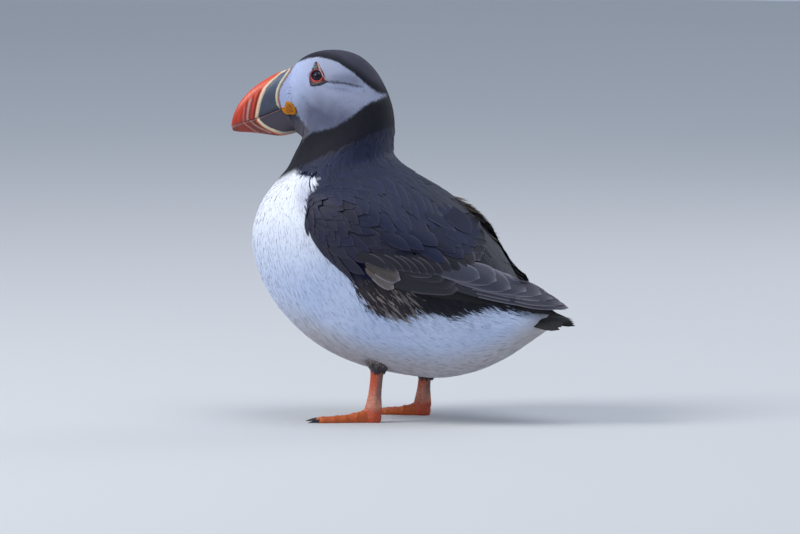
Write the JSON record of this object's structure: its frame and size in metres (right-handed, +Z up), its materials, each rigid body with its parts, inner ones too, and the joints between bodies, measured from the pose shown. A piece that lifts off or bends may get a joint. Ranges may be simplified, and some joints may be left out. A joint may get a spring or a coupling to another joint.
{
  "type": "atlantic puffin",
  "caption": "Life-size standing seabird model with a deep triangular coloured bill, white face and breast, black back and folded wings, short tail and webbed feet.",
  "frame": {"origin": "centre of the bounding box's base, on the floor between the feet", "axes": "+Z up, the bird faces -Y, its left side is +X"},
  "size_m": [0.1164, 0.1992, 0.2105],
  "materials": {
    "face_plumage": "matt dense short feathers",
    "black_plumage": "matt to silky feathers",
    "white_plumage": "soft loose feathers",
    "bill_horn": "waxy grooved horn with slate, cream and red-orange bands",
    "cere_skin": "dotted waxy skin",
    "rosette_skin": "wrinkled fleshy skin",
    "eye": "wet and clear over a dark iris",
    "leg_skin": "scaled and wrinkled skin",
    "claw_horn": "dark horn"
  },
  "bodies": {
    "root": {"head": "face_plumage", "neck": "black_plumage", "trunk": "white_plumage", "cere": "cere_skin", "bill_upper": "bill_horn", "bill_lower": "bill_horn", "rosette_left": "rosette_skin", "rosette_right": "rosette_skin", "eye_left": "eye", "eye_right": "eye", "wing_left": "black_plumage", "wing_right": "black_plumage", "primaries_left": "black_plumage", "primaries_right": "black_plumage", "tail": "black_plumage", "thigh_left": "white_plumage", "leg_left": "leg_skin", "foot_left": "leg_skin", "claw_inner_left": "claw_horn", "claw_middle_left": "claw_horn", "claw_outer_left": "claw_horn", "thigh_right": "white_plumage", "leg_right": "leg_skin", "foot_right": "leg_skin", "claw_inner_right": "claw_horn", "claw_middle_right": "claw_horn", "claw_outer_right": "claw_horn"}
  },
  "joints": []
}
